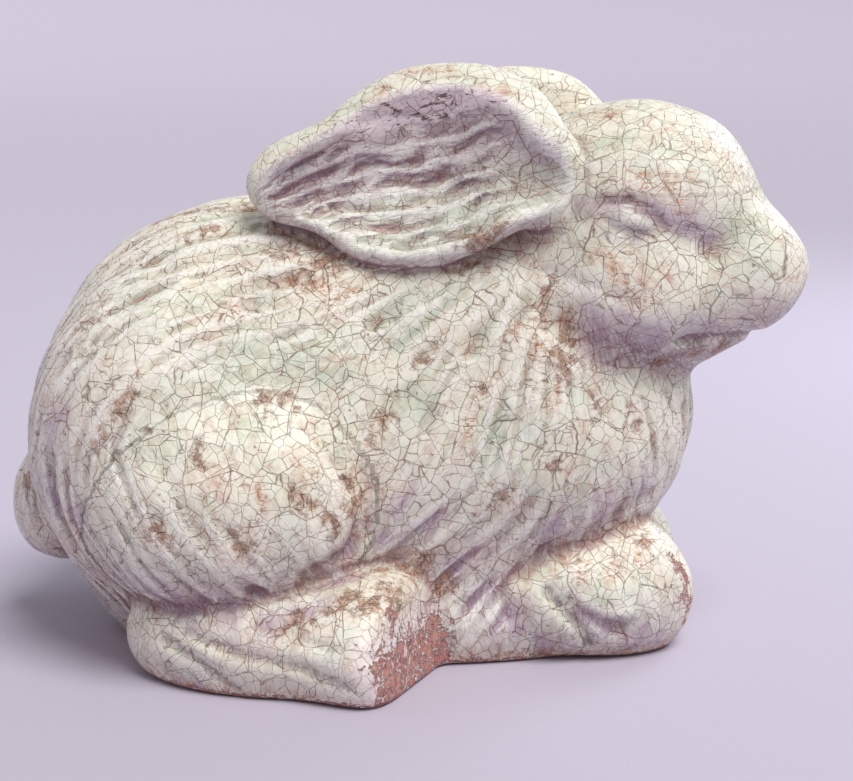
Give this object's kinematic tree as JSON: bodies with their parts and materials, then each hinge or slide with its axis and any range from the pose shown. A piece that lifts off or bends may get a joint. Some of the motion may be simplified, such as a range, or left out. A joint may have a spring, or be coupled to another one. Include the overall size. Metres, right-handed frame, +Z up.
{
  "type": "rabbit figurine",
  "caption": "Crouching rabbit in crackle-glazed terracotta, head turned a little to its right and ears laid back, with gouged fur and a flat foot.",
  "frame": {"origin": "middle of the figure's outline seen from above, at the height of its flat foot", "axes": "+X towards the rabbit's nose, +Y towards its left side, +Z up"},
  "size_m": [0.195, 0.1294, 0.1414],
  "materials": {
    "crackle_glaze": "semi-gloss cream and pale green crackle glaze, worn through to terracotta"
  },
  "bodies": {
    "root": {"rabbit_figurine": "crackle_glaze"}
  },
  "joints": []
}
